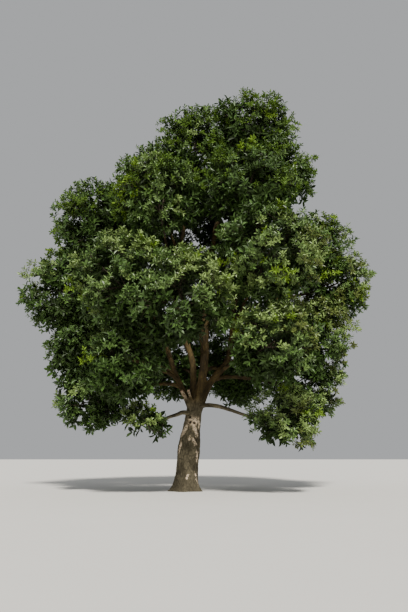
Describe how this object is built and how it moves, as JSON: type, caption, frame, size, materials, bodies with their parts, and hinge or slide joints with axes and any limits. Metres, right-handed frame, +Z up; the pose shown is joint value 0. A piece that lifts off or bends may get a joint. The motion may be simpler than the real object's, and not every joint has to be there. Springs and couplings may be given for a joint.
{
  "type": "hybrid oak tree",
  "caption": "Mature broadleaved oak in full summer leaf, with a stout leaning trunk, a flared foot, rising limbs and a broad rounded crown.",
  "frame": {"origin": "in the flat cut under the trunk, at ground level, on the trunk's line", "axes": "+Z up, +Y into the picture from the side that the picture shows, +X to the right in it"},
  "size_m": [17.6403, 14.3852, 20.4043],
  "materials": {
    "bark": "rough grey-brown bark in long upright ridges",
    "foliage": "half-matt mid green leaves, paler underneath"
  },
  "bodies": {
    "root": {"trunk": "bark", "limb_centre": "bark", "limb_centre_left": "bark", "limb_left": "bark", "limb_right": "bark", "bough_shoulder_high": "bark", "bough_side_left": "bark", "bough_side_left_low": "bark", "bough_left_bottom": "bark", "bough_low_left": "bark", "bough_front_left_low": "bark", "bough_front_left": "bark", "bough_front_centre": "bark", "bough_front_right": "bark", "bough_front_right_low": "bark", "bough_front_high_left": "bark", "bough_front_high": "bark", "bough_right_high": "bark", "bough_side_right": "bark", "bough_side_right_mid": "bark", "bough_side_right_low": "bark", "bough_right_bottom": "bark", "bough_back_top": "bark", "bough_back_right_high": "bark", "bough_back_left_high": "bark", "bough_back_centre": "bark", "bough_back_right": "bark", "bough_back_left": "bark", "bough_back_low_left": "bark", "bough_back_low_right": "bark", "foliage_crown_top": "foliage", "foliage_crown_top_left": "foliage", "foliage_crown_top_right": "foliage", "foliage_shoulder_left": "foliage", "foliage_shoulder_high": "foliage", "foliage_side_left": "foliage", "foliage_side_left_low": "foliage", "foliage_left_bottom": "foliage", "foliage_low_left": "foliage", "foliage_front_left_low": "foliage", "foliage_front_left": "foliage", "foliage_front_centre": "foliage", "foliage_front_right": "foliage", "foliage_front_right_low": "foliage", "foliage_front_high_left": "foliage", "foliage_front_high": "foliage", "foliage_right_high": "foliage", "foliage_side_right": "foliage", "foliage_side_right_mid": "foliage", "foliage_side_right_low": "foliage", "foliage_right_bottom": "foliage", "foliage_back_top": "foliage", "foliage_back_right_high": "foliage", "foliage_back_left_high": "foliage", "foliage_back_centre": "foliage", "foliage_back_right": "foliage", "foliage_back_left": "foliage", "foliage_back_low_left": "foliage", "foliage_back_low_right": "foliage"}
  },
  "joints": []
}
